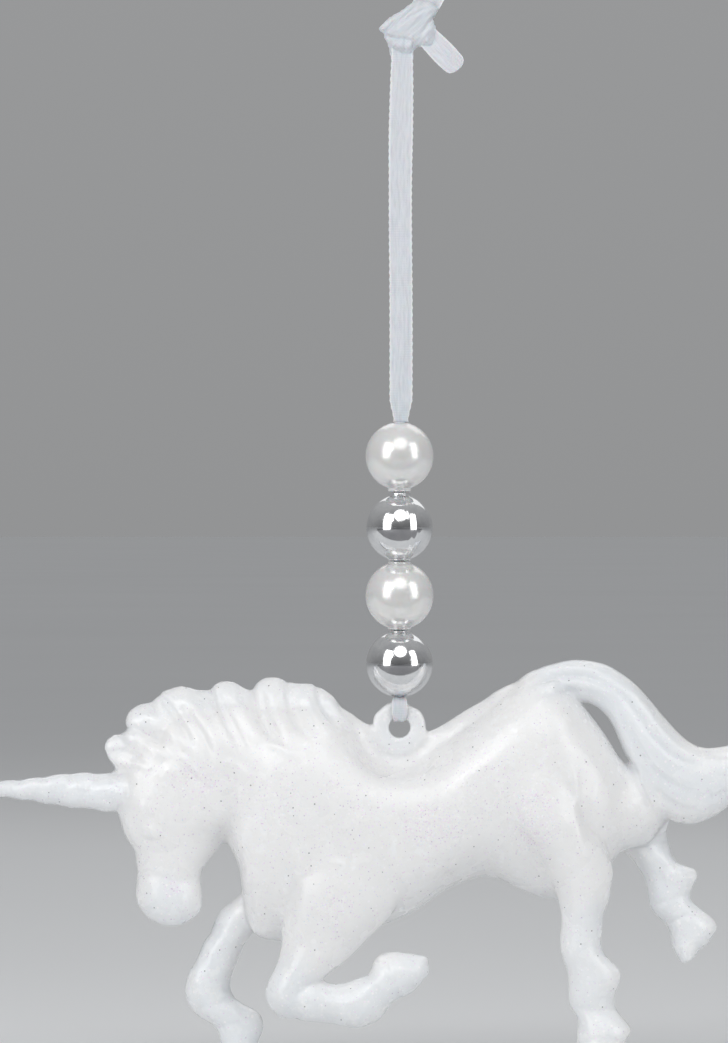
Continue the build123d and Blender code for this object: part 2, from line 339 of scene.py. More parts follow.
def opal_plastic():
    """Milky plastic with fine glitter: warm and dense in the body, bluish where it is thin."""
    m = Nodes("opal_plastic")
    m.set(IOR=1.47, Subsurface_Weight=0.85, Subsurface_Scale=0.0028, Coat_Weight=0.5)
    m.set(Coat_Roughness=0.24, Subsurface_Radius=(1.0, 0.97, 0.93))
    clear = m.read("clear")
    tone = m.mix(clear, (0.93, 0.928, 0.918), (0.84, 0.87, 0.895))
    cloud = m.noise(130, 3, 0.6)
    tone = m.mix(m.grey(cloud, (0.35, 0), (0.75, 0.3)), tone, (0.97, 0.97, 0.97))
    # Painted reflections: whitish smears in patches, as of light mirrored inside the shell, weaker where the
    # plastic is clear
    reflection_noise = m.noise(640, 3, 0.6)
    reflection_patches = m.grey(m.noise(90), (0.42, 0.15), (0.6, 1))
    painted_reflection = m.times(m.grey(reflection_noise, (0.53, 0), (0.62, 0.9)), reflection_patches)
    painted_reflection = m.times(painted_reflection, m.grey(clear, (0, 1), (1, 0.45)))
    tone = m.mix(painted_reflection, tone, (0.975, 0.99, 1.0))
    # Glitter: small flakes, each with its own tint and tilt, thickest in the patches where the light catches
    # it, which is painted sparkle
    thick = m.read("glitter")
    flakes, pick = m.cells(4600)
    share = m.math("ADD", m.times(thick, 0.42), 0.05)
    chosen = m.math("LESS_THAN", pick["Red"], share)
    near = m.math("LESS_THAN", flakes["Distance"], 0.5)
    glitter = m.times(chosen, near)
    hue = m.ramp(pick["Green"], (0.0, (0.66, 0.58, 0.72)), (0.2, (0.95, 0.78, 0.93)),
                 (0.4, (0.88, 0.84, 1.0)), (0.6, (1.0, 1.0, 1.0)), (0.8, (0.84, 0.93, 1.0)),
                 (1.0, (1.0, 0.95, 0.9)))
    # A lilac haze in the sparkle patches: painted sparkle of the lit glitter
    haze = m.noise(900, 2, 0.6)
    sparkle_haze = m.times(m.grey(haze, (0.4, 0), (0.65, 1)), m.times(thick, 0.4))
    tone = m.mix(sparkle_haze, tone, (0.9, 0.82, 0.94))
    tone = m.mix(m.times(glitter, 0.9), tone, hue)
    # Larger soft painted glints, white and lilac, thickest in the sparkle patches
    glints, draw = m.cells(1750)
    level = m.math("ADD", m.times(thick, 0.34), 0.07)
    held = m.math("LESS_THAN", draw["Red"], level)
    painted_glint = m.times(held, m.grey(glints["Distance"], (0.18, 0.95), (0.42, 0)))
    glint_tone = m.ramp(draw["Green"], (0.0, (0.93, 0.84, 0.97)), (0.4, (1.0, 0.98, 1.0)))
    tone = m.mix(painted_glint, tone, glint_tone)
    # A few dark specks: painted shade of glitter flakes that face away from the light
    specks, chance = m.cells(600)
    rare = m.math("GREATER_THAN", chance["Blue"], 0.3)
    small = m.math("LESS_THAN", specks["Distance"], 0.07)
    painted_flake_shade = m.times(rare, small)
    tone = m.mix(m.times(painted_flake_shade, 0.7), tone, (0.12, 0.12, 0.13))
    m.drive(Base_Color=tone)
    m.drive(Roughness=m.grey(cloud, (0.3, 0.2), (0.8, 0.36)))
    # Soft unevenness of the moulding, then the flakes' own tilt
    soft = m.bump(m.noise(520, 3, 0.55), 0.3, 0.0005)
    fine = m.bump(m.noise(2300), 0.16, 0.0001, soft)
    tilt = m.add("VectorMath", operation="SUBTRACT")
    m.link(flakes["Color"], tilt.inputs[0])
    tilt.inputs[1].default_value = (0.5, 0.5, 0.5)
    lean = m.add("VectorMath", operation="SCALE")
    m.link(tilt.outputs[0], lean.inputs[0])
    m.link(m.times(glitter, 0.7), lean.inputs["Scale"])
    total = m.add("VectorMath", operation="ADD")
    m.link(fine, total.inputs[0])
    m.link(lean.outputs[0], total.inputs[1])
    unit = m.add("VectorMath", operation="NORMALIZE")
    m.link(total.outputs[0], unit.inputs[0])
    m.drive(Normal=unit.outputs[0])
    return m.material


def pearl_coat():
    m = Nodes("pearl_coat_detailed")
    m.set(Roughness=0.24, Coat_Weight=0.6, Coat_Roughness=0.08, Subsurface_Weight=0.15)
    m.set(Subsurface_Scale=0.001, Sheen_Weight=0.15, Sheen_Roughness=0.4, Metallic=0.35, IOR=1.6)
    cloud = m.noise(260, 3, 0.6)
    tone = m.ramp(cloud, (0.3, (0.83, 0.83, 0.8)), (0.5, (0.87, 0.87, 0.86)), (0.75, (0.88, 0.865, 0.88)))
    m.drive(Base_Color=tone)
    m.drive(Normal=m.bump(m.noise(900), 0.1, 0.0002))
    return m.material


def silver_plate():
    m = Nodes("silver_plate_detailed")
    m.set(Metallic=1.0, IOR=2.0)
    wear = m.noise(500, 6, 0.7)
    tone = m.ramp(wear, (0.3, (0.72, 0.73, 0.75)), (0.6, (0.86, 0.865, 0.87)))
    m.drive(Base_Color=tone)
    m.drive(Roughness=m.grey(wear, (0.35, 0.05), (0.7, 0.16)))
    stretch = m.add("Mapping")
    stretch.inputs["Scale"].default_value = (1, 1, 0.12)
    stretch.inputs["Rotation"].default_value = (0.3, 0.5, 0.0)
    m.link(m.coordinates(), stretch.inputs["Vector"])
    scratch = m.noise(2600, vector=stretch.outputs["Vector"])
    dents = m.bump(m.noise(320), 0.12, 0.0003)
    m.drive(Normal=m.bump(m.grey(scratch, (0.62, 0), (0.7, 1)), 0.1, 0.00005, dents))
    return m.material


def satin_ribbon():
    m = Nodes("satin_ribbon_detailed")
    m.set(Roughness=0.42, Sheen_Weight=0.35, Sheen_Roughness=0.3, Subsurface_Weight=0.25)
    m.set(Subsurface_Scale=0.0006, IOR=1.5, Anisotropic=0.4)
    along = m.read("along")
    across = m.read("across")
    join = m.add("CombineXYZ")
    m.link(m.times(across, 5.0), join.inputs["X"])
    m.link(m.times(along, 0.35), join.inputs["Y"])
    streak = m.noise(1.0, 3, 0.6, join.outputs[0])
    tone = m.ramp(streak, (0.3, (0.61, 0.64, 0.685)), (0.5, (0.685, 0.715, 0.757)),
                  (0.7, (0.74, 0.762, 0.8)))
    edge = m.grey(m.math("ABSOLUTE", across), (0.84, 0), (0.9, 0.7), (1.0, 0.7))
    tone = m.mix(edge, tone, (0.86, 0.87, 0.88))
    ribs = m.math("SINE", m.times(along, 2 * pi / RIB_PITCH))
    patches = m.noise(160)
    # Painted shade in the grooves between the ribs, in patches
    groove = m.grey(ribs, (0.0, 1), (0.25, 0))
    rib_groove_shade = m.times(groove, m.grey(patches, (0.5, 0), (0.62, 0.16)))
    tone = m.mix(rib_groove_shade, tone, (0.5, 0.53, 0.58))
    m.drive(Base_Color=tone)
    weave = m.times(ribs, 0.5)
    folds = m.bump(streak, 0.5, 0.0002)
    m.drive(Normal=m.bump(weave, 0.35, 0.00003, folds))
    return m.material


opal = opal_plastic()
pearl = pearl_coat()
silver = silver_plate()
satin = satin_ribbon()


# Ribbon

# Height in mm at which the ribbon enters the upper bead, and spacing in mm of its picot loops
BEAD_TOP = -54.7
PICOT_PITCH = 1.05


def route(points, steps):
    """The points of a smooth line through the route's NURBS spline, in mm."""
    curve = bpy.data.curves.new("route", "CURVE")
    curve.dimensions = "3D"
    curve.resolution_u = steps
    spline = curve.splines.new("NURBS")
    spline.points.add(len(points) - 1)
    for point, place_at in zip(spline.points, points):
        point.co = (*[v * MM for v in place_at], 1)
    spline.order_u = 3
    spline.use_endpoint_u = True
    holder = to_scene("route", curve)
    bpy.context.view_layer.update()
    mesh = bpy.data.meshes.new_from_object(holder)
    line = np.array([v.co for v in mesh.vertices], float) / MM
    bpy.data.objects.remove(holder)
    bpy.data.curves.remove(curve)
    bpy.data.meshes.remove(mesh)
    return line


def strip(name, line, side, half_width, wave, picot, thickness=0.22, columns=15):
    """A flat ribbon along a line in mm. side is the direction of its width, wave lifts it from the flat."""
    count = len(line)
    side = np.array(side, float)
    heading = np.gradient(line, axis=0)
    heading /= np.linalg.norm(heading, axis=1)[:, None]
    side = side - (side * heading).sum(1)[:, None] * heading
    side /= np.linalg.norm(side, axis=1)[:, None]
    face = np.cross(side, heading)
    run = run_length(line)
    across = np.sin(np.linspace(-pi / 2, pi / 2, columns))
    loops = picot * (0.5 + 0.5 * np.cos(2 * pi * run / PICOT_PITCH)) ** 1.5
    vertices, runs, shares = [], [], []
    for layer in (-0.5, 0.5):
        for share in across:
            # Picot loops stand out from the outermost row, and the two outer rows are thinner
            reach = share * (half_width + (loops if abs(share) > 0.985 else 0))
            lift = wave(run, share)
            thick = thickness * (0.75 if abs(share) > 0.92 else 1.0)
            vertices.append(line + side * reach[:, None] + face * (lift + layer * thick)[:, None])
            runs.append(run)
            shares.append(np.full(count, share))
    vertices = np.concatenate(vertices)
    faces = []
    top = columns * count

    def wall(starts, over, up, turned):
        for a in starts:
            quad = (a, a + over, a + over + up, a + up)
            faces.append(quad[::-1] if turned else quad)

    cells = [j * count + i for j in range(columns - 1) for i in range(count - 1)]
    wall(cells, 1, count, False)
    wall([top + a for a in cells], 1, count, True)
    wall(range(count - 1), top, 1, False)
    wall(range(top - count, top - 1), top, 1, True)
    wall(range(0, top - count, count), count, top, False)
    wall(range(count - 1, top - count, count), count, top, True)
    obj = new_object(name, vertices, faces)
    attribute(obj, "along", np.concatenate(runs))
    attribute(obj, "across", np.concatenate(shares))
    return obj


# A strand from inside the knot to the beads, in mm. The front strand mirrors the back one.
STRAND_ROUTE = [(0.4, 0.72, 0.9), (0.4, 0.98, -1.6), (0.05, 0.85, -20), (0.28, 0.4, -40),
                (0.2, 0.3, BEAD_TOP)]


def strand(side):
    """One of the two strands from the knot down to the beads."""
    line = route([(x, side * y, z) for x, y, z in STRAND_ROUTE], 90)
    low = smoothstep(line[:, 2], -54.6, -51.0)
    fuller = 0.09 * np.exp(-((line[:, 2] + 12) / 5) ** 2)
    half = 1.05 + 0.6 * low - 0.1 * smoothstep(line[:, 2], -6, -1) + fuller
    phase = 0.7 if side < 0 else 2.1

    def wave(run, share):
        folds = 0.06 * np.sin(4.2 * share + phase + 0.08 * run)
        folds = folds + 0.05 * np.sin(9 * share + 0.31 * run + phase)
        return folds * (1 - 0.5 * abs(share)) + 0.12 * share * np.sin(0.12 * run + phase)

    name = "ribbon_strand_front" if side < 0 else "ribbon_strand_back"
    return strip(name, line, (1, 0, 0), half, wave, 0.09), line


for side, node in ((-1, "ribbon_front_strand"), (1, "ribbon_back_strand")):
    piece, line = strand(side)
    finish_piece(piece, None, "satin_ribbon", satin, node)
    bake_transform(piece)


def tail(name, start, angle, length, depth, half_start, half_end, skew, droop):
    """A cut end of the ribbon, widening from the knot and cut across with rounded corners."""
    heading = Vector((cos(radians(angle)), 0, sin(radians(angle))))
    steps = np.linspace(0, 1, 60)
    line = np.stack([start[0] + heading.x * length * steps, depth + droop * steps * steps,
                     start[1] + heading.z * length * steps], axis=1)
    half = half_start + (half_end - half_start) * smoothstep(steps, 0, 0.6) - 0.16 * smoothstep(steps, 0.6, 1)
    cap = np.clip((1 - steps) * length / 1.1, 0, 1)
    half = half * np.sqrt(1 - (1 - cap) ** 2 * 0.92)

    def wave(run, share):
        crown = 0.5 * (1 - share**2) * (1 - smoothstep(run / length, 0.1, 0.6))
        return crown + 0.12 * np.sin(1.6 * share + skew) * run / length + 0.05 * np.sin(6 * share + 0.4 * run)

    return strip(name, line, (-heading.z, 0, heading.x), half, wave, 0.02, thickness=0.2)


low_tail = tail("ribbon_cut_tail_low", start=(3.35, 2.65), angle=-46, length=7.75, depth=-0.75,
                half_start=1.6, half_end=1.78, skew=0.6, droop=-0.4)
high_tail = tail("ribbon_cut_tail_high", start=(3.3, 5.5), angle=62, length=9.3, depth=0.35,
                 half_start=1.95, half_end=2.1, skew=1.2, droop=0.0)
finish_piece(low_tail, "hanger", "satin_ribbon", satin, "ribbon_tail_low")
finish_piece(high_tail, "hanger", "satin_ribbon", satin, "ribbon_tail_high")


# Spacing of the knot's grid and of its evened mesh, and its half thickness and rounding, in mm
KNOT_GRID = 0.22
KNOT_VOXEL = 0.11
KNOT_HALF = 1.5
KNOT_ROUND = 1.6


def grid_over(outline):
    """Grid over an outline in mm: its points, which are inside, their distance to the outline, its size."""
    outline = np.array(outline, float)
    low, high = outline.min(0) - KNOT_GRID, outline.max(0) + KNOT_GRID
    xs = np.arange(low[0], high[0], KNOT_GRID)
    zs = np.arange(low[1], high[1], KNOT_GRID)
    grid = np.array([(x, z) for x in xs for z in zs])
    inside = np.zeros(len(grid), bool)
    distance = np.full(len(grid), 1e9)
    for p, q in zip(outline, np.roll(outline, -1, axis=0)):
        crosses = (p[1] > grid[:, 1]) != (q[1] > grid[:, 1])
        with np.errstate(divide="ignore", invalid="ignore"):
            at = (q[0] - p[0]) * (grid[:, 1] - p[1]) / (q[1] - p[1]) + p[0]
        inside ^= crosses & (grid[:, 0] < at)
        edge = q - p
        t = np.clip(((grid - p) @ edge) / (edge @ edge), 0, 1)
        distance = np.minimum(distance, np.linalg.norm(grid - p - t[:, None] * edge, axis=1))
    return grid, inside, distance, (len(xs), len(zs))


# Outline of the knot in pixels
KNOT_OUTLINE = [(377.5, 28), (384, 21.5), (390, 16.5), (399, 11), (408, 4.5), (416, 0), (430, 0), (440, 9),
                (436, 16), (435.5, 24), (437, 31), (437, 38), (430, 48), (421, 48), (417.5, 47.5),
                (414.5, 51), (413.5, 62), (390, 62), (389, 50), (386, 42), (381.5, 35)]

# Folds of the knot: half, height and width in mm, and the line in pixels
KNOT_FOLDS = [
    (BOTH, -0.34, 0.34, [(380, 37), (388, 28), (396, 20), (406, 12), (418, 3)]),
    (BOTH, 0.3, 0.85, [(392, 38), (402, 27), (414, 17), (426, 4)]),
    (BOTH, -0.24, 0.26, [(384, 36), (394, 39), (404, 40), (412, 42), (418, 47)]),
    (BOTH, 0.34, 0.62, [(389, 43), (396, 45), (405, 48), (411, 52)]),
    (BOTH, -0.3, 0.3, [(439, 14), (431, 22), (424, 31), (416, 40)]),
    (BOTH, 0.22, 0.3, [(414, 33), (411, 41), (410, 50), (411, 60)]),
    (BOTH, -0.22, 0.26, [(404, 37), (405, 46), (403, 56)]),
    (BOTH, 0.18, 0.4, [(424, 38), (430, 44), (436, 49)]),
    (BOTH, -0.2, 0.25, [(400, 24), (410, 18), (421, 12), (432, 8)]),
]


def knot_piece():
    """The overhand knot: a puffed, folded bundle with the band that is wrapped over it."""
    outline = [place(*p) for p in KNOT_OUTLINE]
    grid, inside, distance, (nx, nz) = grid_over(outline)
    inward = np.clip(distance / KNOT_ROUND, 0, 1)
    rise = np.sqrt(inward * (2 - inward)) * KNOT_HALF
    x, z = grid[:, 0], grid[:, 1]
    px, py = side_view(np.stack([x, x, z], axis=1)).T
    rise *= 1 - 0.62 * smoothstep(py, 44, 60) * (1 - smoothstep(px, 414, 420))
    rise *= 1 - 0.45 * smoothstep(px + py, 456, 476)
    rise *= 1 - 0.35 * (1 - smoothstep(px - 0.4 * py, 366, 392))
    index = {}
    vertices = []
    for side in (-1, 1):
        for i in range(len(grid)):
            if inside[i]:
                index[(side, i)] = len(vertices)
                vertices.append((x[i], side * (0.12 + rise[i] * (1.0 if side < 0 else 0.85)), z[i]))
    faces = []
    for side in (-1, 1):
        for i in range(nx - 1):
            for j in range(nz - 1):
                quad = [i * nz + j, (i + 1) * nz + j, (i + 1) * nz + j + 1, i * nz + j + 1]
                if all(inside[q] for q in quad):
                    face = [index[(side, q)] for q in quad]
                    faces.append(face if side < 0 else face[::-1])
    # Close the gap between the two sides along their open edges
    used = dict.fromkeys(edge for f in faces for edge in zip(f, f[1:] + f[:1]))
    twin = {index[(-1, i)]: index[(1, i)] for i in range(len(grid)) if inside[i]}
    for a, b in used:
        if (b, a) not in used and a in twin and b in twin:
            faces.append([b, a, twin[a], twin[b]])
    obj = new_object("ribbon_overhand_knot", vertices, faces)
    modify(obj, "REMESH", mode="VOXEL", voxel_size=KNOT_VOXEL * MM)
    modify(obj, "SMOOTH", iterations=7)
    co = coordinates(obj)
    height = stroke_height(co, side_view(co), KNOT_FOLDS)
    fine = 0.02 * np.sin((co[:, 0] * -0.69 + co[:, 2] * 0.72) * 9 + np.sin(co[:, 0]))
    move_to(obj, co + normals(obj) * (height + fine)[:, None])
    co = coordinates(obj)
    attribute(obj, "along", co[:, 0] * 0.72 + co[:, 2] * 0.69)
    attribute(obj, "across", 0.7 * np.sin((co[:, 0] * -0.69 + co[:, 2] * 0.72) * 0.9))
    return obj


knot = knot_piece()
finish_piece(knot, "hanger", "satin_ribbon", satin, "ribbon_knot")


# Lower end and radius of the ribbon's stretch inside the beads, in mm
CORE_FOOT = -95.29
CORE_RADIUS = 0.8


def threaded_core():
    """The ribbon bunched round on its way through the beads."""
    rows = np.linspace(BEAD_TOP, CORE_FOOT, 240)
    around = np.linspace(0, 2 * pi, 28, endpoint=False)
    vertices = []
    for z in rows:
        for a in around:
            radius = CORE_RADIUS + 0.05 * sin(3 * a + z * 0.4)
            vertices.append((radius * cos(a), radius * sin(a), z))
    n = len(around)
    faces = ring_faces(len(rows), n)
    faces.append(tuple(range(n))[::-1])
    faces.append(tuple((len(rows) - 1) * n + j for j in range(n)))
    obj = new_object("ribbon_bunched", vertices, [f[::-1] for f in faces])
    attribute(obj, "along", [v[2] for v in vertices])
    attribute(obj, "across", [0.6 * sin(2 * np.arctan2(v[1], v[0])) for v in vertices])
    return obj


finish_piece(threaded_core(), "threaded_ribbon", "satin_ribbon", satin, "ribbon_threaded")


# The front half of the ribbon's turn: depth and height in mm. The back half mirrors it.
TURN_ROUTE = [(-0.35, -94.9), (-0.9, -95.2), (-1.62, -95.9), (-1.66, -97.4), (-1.45, -98.45), (-0.5, -98.62)]


def eyelet_band():
    """The ribbon's turn: down the front of the hanging eye, through its hole and up the back."""
    down = [(0, y, z) for y, z in TURN_ROUTE]
    line = route(down + [(0, -y, z) for _, y, z in down[::-1]], 10)
    run = run_length(line)
    middle = np.abs(run - run[-1] / 2)
    half = 0.85 + 0.28 * smoothstep(middle, 1.2, 2.4) - 0.25 * smoothstep(middle, 3.6, 5.2)

    def wave(run, share):
        return 0.05 * np.sin(5 * share + 0.5 * run)

    return strip("ribbon_eyelet_band", line, (1, 0, 0), half, wave, 0.03, thickness=0.24, columns=13)


finish_piece(eyelet_band(), "threaded_ribbon", "satin_ribbon", satin, "ribbon_eyelet_turn")


# Beads

# Radius of the bore, width of its lip, and radius of the flat ends, in mm
BORE = 1.0
LIP = 0.3
FLAT = 1.68


def bead(name, node, material, below, above, seam=None):
    """A bead with a bore and flat ends; below and above are how far its collars stand out, in mm."""
    low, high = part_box(node)
    centre = (low.z + high.z) / 2 / MM
    radius = (high.x - low.x) / 2 / MM
    half = (high.z - low.z) / 2 / MM
    start = np.arcsin((FLAT + 0.06) / radius)
    profile = [(BORE, -half - below + 0.12), (BORE + 0.12, -half - below), (FLAT - 0.14, -half - below),
               (FLAT, -half - below + 0.14), (FLAT + 0.01, -radius * cos(start) - 0.03)]
    for t in np.linspace(start, pi - start, 72):
        profile.append((radius * sin(t), -radius * cos(t)))
    profile += [(FLAT + 0.01, radius * cos(start) + 0.03), (FLAT, half + above - 0.14),
                (FLAT - 0.14, half + above), (BORE + 0.12, half + above), (BORE, half + above - 0.12),
                (BORE, 0)]
    around = np.linspace(0, 2 * pi, 192, endpoint=False)
    vertices = []
    for r, z in profile:
        for a in around:
            bump = 0.0
            if seam is not None and r > BORE + LIP:
                turn = (a - seam + pi) % (2 * pi) - pi
                bump = 0.04 * (np.exp(-((turn - 0.1) ** 2) / 0.003) + np.exp(-((turn + 0.1) ** 2) / 0.003))
            vertices.append(((r + bump) * cos(a), (r + bump) * sin(a), centre + z))
    faces = ring_faces(len(profile), len(around), closed=True)
    slot = "pearl_coat" if material is pearl else "silver_plate"
    finish_piece(new_object(name, vertices, faces), node, slot, material, node)


bead("pearl_bead_upper", "bead_pearl_upper", pearl, 0.42, 0.0)
bead("silver_bead_upper", "bead_silver_upper", silver, 0.17, 0.42, seam=-pi / 2 + 0.42)
bead("pearl_bead_lower", "bead_pearl_lower", pearl, 0.17, 0.17)
bead("silver_bead_lower", "bead_silver_lower", silver, 0.0, 0.17, seam=pi / 2 + 0.3)


# Figure

# Spacing of the skin's evened mesh in mm
SKIN_VOXEL = 0.3


def ovoid(centre, radii, depth, thickness):
    """A closed oval: centre and radii in pixels of the side view, depth and half thickness in mm."""
    x, z = place(*centre)
    rings, columns = 14, 20
    vertices = []
    for a in np.linspace(0, pi, rings + 2)[1:-1]:
        for b in np.linspace(0, 2 * pi, columns, endpoint=False):
            across = sin(a) * cos(b) * radii[0] * SQUARE
            over = sin(a) * sin(b) * radii[1] * SQUARE
            vertices.append((x + across, depth + thickness * cos(a), z + over))
    faces = ring_faces(rings, columns)
    faces += [list(range(columns))[::-1], [(rings - 1) * columns + j for j in range(columns)]]
    return np.array(vertices) * MM, [f[::-1] for f in faces]


def keep_largest(obj):
    """Delete all of a mesh but its largest connected island."""
    shell = bmesh.new()
    shell.from_mesh(obj.data)
    seen = set()
    groups = []
    for first in shell.verts:
        if first in seen:
            continue
        seen.add(first)
        group = [first]
        for v in group:
            for e in v.link_edges:
                other = e.other_vert(v)
                if other not in seen:
                    seen.add(other)
                    group.append(other)
        groups.append(group)
    groups.sort(key=len)
    for group in groups[:-1]:
        bmesh.ops.delete(shell, geom=group, context="VERTS")
    shell.to_mesh(obj.data)
    shell.free()


def outer_skin(fillets, *nodes):
    """One closed skin round the named solids and the ovals that fill their corners, in a new object."""
    vertices, faces = [], []
    for row in fillets:
        points, loops = ovoid(*row)
        start = len(vertices)
        vertices.extend([tuple(p) for p in points])
        faces.extend([[start + i for i in loop] for loop in loops])
    for node in nodes:
        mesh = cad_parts[node].data
        start = len(vertices)
        vertices.extend([tuple(v.co) for v in mesh.vertices])
        faces.extend([[start + i for i in p.vertices] for p in mesh.polygons])
    obj = new_object("figure_skin", vertices, faces, scale=1)
    modify(obj, "REMESH", mode="VOXEL", voxel_size=SKIN_VOXEL * MM)
    # The walls of the hollow are loose from the outer skin
    keep_largest(obj)
    modify(obj, "SMOOTH", factor=0.5, iterations=8)
    return obj


# Relief of the moulding: the half it is on, height and width in mm, and its line in pixels of the side view

MANE = [
    (BOTH, -0.34, 0.5, [(121, 730), (131, 727), (143, 731), (156, 738), (168, 748), (176, 760)]),
    (BOTH, 0.22, 0.7, [(112, 741), (128, 737), (144, 743), (158, 752), (168, 764)]),
    (BOTH, -0.2, 0.45, [(108, 752), (124, 751), (139, 757), (152, 766)]),
    (BOTH, 0.24, 0.55, [(116, 764), (128, 762), (142, 764), (154, 771)]),
    (BOTH, -0.38, 0.55, [(157, 693), (166, 702), (175, 714), (184, 728), (192, 742), (198, 755)]),
    (BOTH, 0.26, 0.8, [(136, 714), (152, 718), (166, 727), (178, 740), (187, 754)]),
    (BOTH, 0.28, 0.75, [(176, 693), (190, 704), (201, 717), (212, 732), (221, 747), (226, 760)]),
    (BOTH, -0.22, 0.4, [(184, 708), (195, 721), (205, 737), (211, 752), (214, 764)]),
    (BOTH, -0.42, 0.55, [(209, 686), (214, 699), (223, 714), (232, 730), (240, 746), (245, 760)]),
    (BOTH, 0.28, 0.75, [(228, 688), (236, 702), (246, 718), (255, 734), (262, 750)]),
    (BOTH, -0.22, 0.4, [(222, 693), (231, 709), (241, 726), (250, 744), (256, 757)]),
    (BOTH, -0.42, 0.55, [(251, 685), (254, 699), (259, 714), (267, 730), (278, 745)]),
    (BOTH, 0.3, 0.75, [(270, 683), (273, 698), (277, 713), (285, 729), (297, 744)]),
    (BOTH, -0.24, 0.4, [(262, 690), (265, 706), (271, 722), (281, 738), (291, 748)]),
    (BOTH, -0.36, 0.5, [(287, 679), (288, 695), (291, 711), (299, 726), (311, 738)]),
    (BOTH, 0.28, 0.7, [(302, 689), (307, 701), (313, 714), (323, 727), (334, 737)]),
    (BOTH, -0.32, 0.45, [(316, 683), (319, 697), (325, 710), (335, 722), (346, 730)]),
    (BOTH, 0.22, 0.6, [(325, 696), (332, 707), (341, 717), (352, 725)]),
    (BOTH, 0.2, 0.55, [(262, 742), (276, 744), (288, 750), (298, 759)]),
    (BOTH, 0.18, 0.5, [(222, 757), (234, 762), (246, 771), (254, 783)]),
    (BOTH, 0.18, 0.5, [(176, 752), (188, 759), (199, 770), (205, 782)]),
]

HEAD = [
    (BOTH, -0.3, 0.8, [(228, 846), (230, 830), (232, 813), (233, 796), (232, 780), (228, 766)]),
    (BOTH, 0.16, 0.55, [(125, 812), (131, 824), (136, 838), (143, 852)]),
    (BOTH, 0.16, 0.45, [(142, 829), (150, 826.5), (158, 827.5), (165, 832)]),
    (BOTH, -0.2, 0.26, [(143, 836), (150, 839.5), (158, 838.5), (165, 834)]),
    (BOTH, -0.12, 0.6, [(150, 850), (166, 850), (182, 856), (196, 866)]),
    (BOTH, -0.13, 0.5, [(136, 876), (148, 874), (164, 876), (182, 880), (201, 881)]),
    (BOTH, 0.14, 0.5, [(137, 884), (147, 881.5), (158, 882)]),
    (BOTH, -0.14, 0.22, [(139, 911), (148, 909), (158, 907), (166, 903)]),
    (BOTH, -0.18, 0.3, [(142, 897), (146, 894.5), (150, 896)]),
]

BODY = [
    (NEAR, 0.2, 0.9, [(289, 842), (296, 854), (302, 870), (305, 888), (304, 905), (300, 922), (293, 944)]),
    (NEAR, -0.16, 1.3, [(281, 850), (287, 864), (291, 880), (292, 897), (289, 914), (284, 932)]),
    (BOTH, 0.16, 1.0, [(340, 829), (352, 821), (364, 816), (378, 811)]),
    (NEAR, 0.14, 0.4, [(329, 857), (338, 859), (349, 859.5)]),
    (NEAR, 0.24, 0.9, [(566, 748), (571, 770), (573, 795), (574, 820), (579, 843), (588, 860), (594, 875)]),
    (NEAR, -0.12, 1.3, [(582, 760), (585, 785), (586, 810), (589, 832), (598, 850)]),
    (BOTH, -0.12, 1.6, [(430, 905), (448, 880), (470, 862), (495, 856)]),
    (NEAR, -0.14, 1.2, [(500, 800), (505, 830), (520, 858), (545, 880)]),
]

TAIL = [
    (BOTH, 0.26, 0.5, [(532, 677.5), (545, 671.5), (562, 668.5), (582, 668), (597, 672), (606, 680)]),
    (BOTH, -0.26, 0.45, [(530, 684), (545, 679), (562, 675.5), (582, 675.5), (600, 681), (618, 694)]),
    (BOTH, 0.28, 0.5, [(534, 690), (547, 686), (562, 683), (578, 682.5), (593, 686), (608, 694),
                        (621, 706)]),
    (BOTH, -0.24, 0.45, [(546, 694), (562, 691), (578, 691), (592, 696)]),
    (BOTH, -0.22, 0.45, [(606, 683), (622, 697), (638, 717), (653, 738), (672, 755), (696, 765), (722, 768)]),
    (BOTH, 0.18, 0.55, [(612, 677), (630, 691), (647, 712), (662, 733), (680, 748), (703, 757), (728, 758)]),
    (BOTH, -0.22, 0.45, [(622, 716), (634, 738), (647, 760), (664, 778), (688, 789), (715, 789)]),
    (BOTH, 0.16, 0.55, [(615, 704), (630, 724), (644, 746), (659, 765), (682, 778), (710, 780)]),
    (BOTH, -0.2, 0.45, [(650, 782), (663, 797), (682, 807), (704, 808)]),
    (BOTH, -0.4, 0.6, [(628, 762), (638, 778), (646, 794), (653, 810), (663, 824)]),
    (BOTH, -0.2, 0.4, [(700, 752), (722, 756), (744, 755), (762, 750)]),
    (BOTH, -0.2, 0.4, [(706, 798), (726, 790), (744, 777), (762, 760)]),
]

